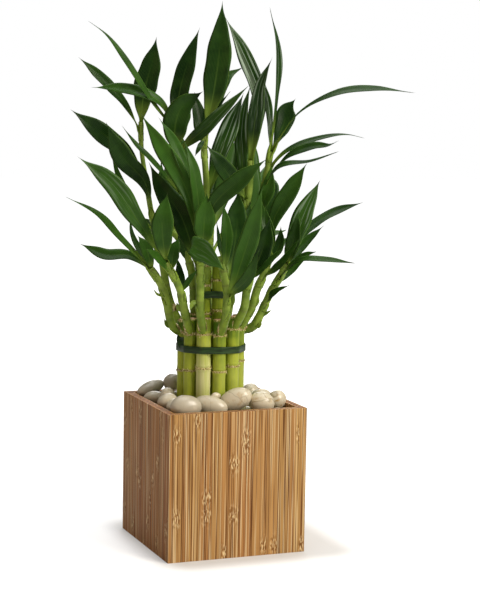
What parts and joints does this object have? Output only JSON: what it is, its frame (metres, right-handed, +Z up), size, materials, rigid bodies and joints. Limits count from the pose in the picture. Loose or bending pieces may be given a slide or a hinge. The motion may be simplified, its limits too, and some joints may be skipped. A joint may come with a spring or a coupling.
{
  "type": "lucky bamboo in a square pot",
  "caption": "Lucky bamboo: cut canes tied in tiers with long leafy shoots, standing in pebbles in a square bamboo-wood pot.",
  "frame": {"origin": "middle of the pot's underside", "axes": "+Z up, the pot's front face towards -Y, its left face towards -X"},
  "size_m": [0.2937, 0.2366, 0.478],
  "materials": {
    "bamboo_board": "clear satin varnish over vertical strips",
    "liner_plastic": "plain black",
    "gravel": "dull washed gravel",
    "pebble": "polished stone",
    "cane": "smooth waxy green skin",
    "tie_tape": "soft dark green tape",
    "leaf": "leathery, slightly glossy"
  },
  "bodies": {
    "root": {"wall_front": "bamboo_board", "wall_right": "bamboo_board", "wall_back": "bamboo_board", "wall_left": "bamboo_board", "base_board": "bamboo_board", "liner": "liner_plastic", "gravel_filling": "gravel", "pebble_01": "pebble", "pebble_02": "pebble", "pebble_03": "pebble", "pebble_04": "pebble", "pebble_05": "pebble", "pebble_06": "pebble", "pebble_07": "pebble", "pebble_08": "pebble", "pebble_09": "pebble", "pebble_10": "pebble", "pebble_11": "pebble", "pebble_12": "pebble", "pebble_13": "pebble", "pebble_14": "pebble", "pebble_15": "pebble", "pebble_16": "pebble", "pebble_17": "pebble", "pebble_18": "pebble", "pebble_19": "pebble", "pebble_20": "pebble", "cane_01": "cane", "cane_02": "cane", "cane_03": "cane", "cane_04": "cane", "cane_05": "cane", "cane_06": "cane", "cane_07": "cane", "cane_08": "cane", "cane_09": "cane", "cane_10": "cane", "cane_11": "cane", "cane_12": "cane", "cane_13": "cane", "cane_14": "cane", "cane_15": "cane", "tie_outer": "tie_tape", "tie_inner": "tie_tape", "shoot_left_low": "leaf", "shoot_left_front": "leaf", "shoot_front_bright": "leaf", "shoot_front_centre": "leaf", "shoot_front_right": "leaf", "shoot_right_inner": "leaf", "shoot_right_low": "leaf", "shoot_left_tall": "leaf", "shoot_left_inner": "leaf", "shoot_centre_tall": "leaf", "shoot_right_high": "leaf", "shoot_right_tall": "leaf", "shoot_back_right": "leaf", "shoot_back_centre": "leaf", "shoot_back_left": "leaf"}
  },
  "joints": []
}
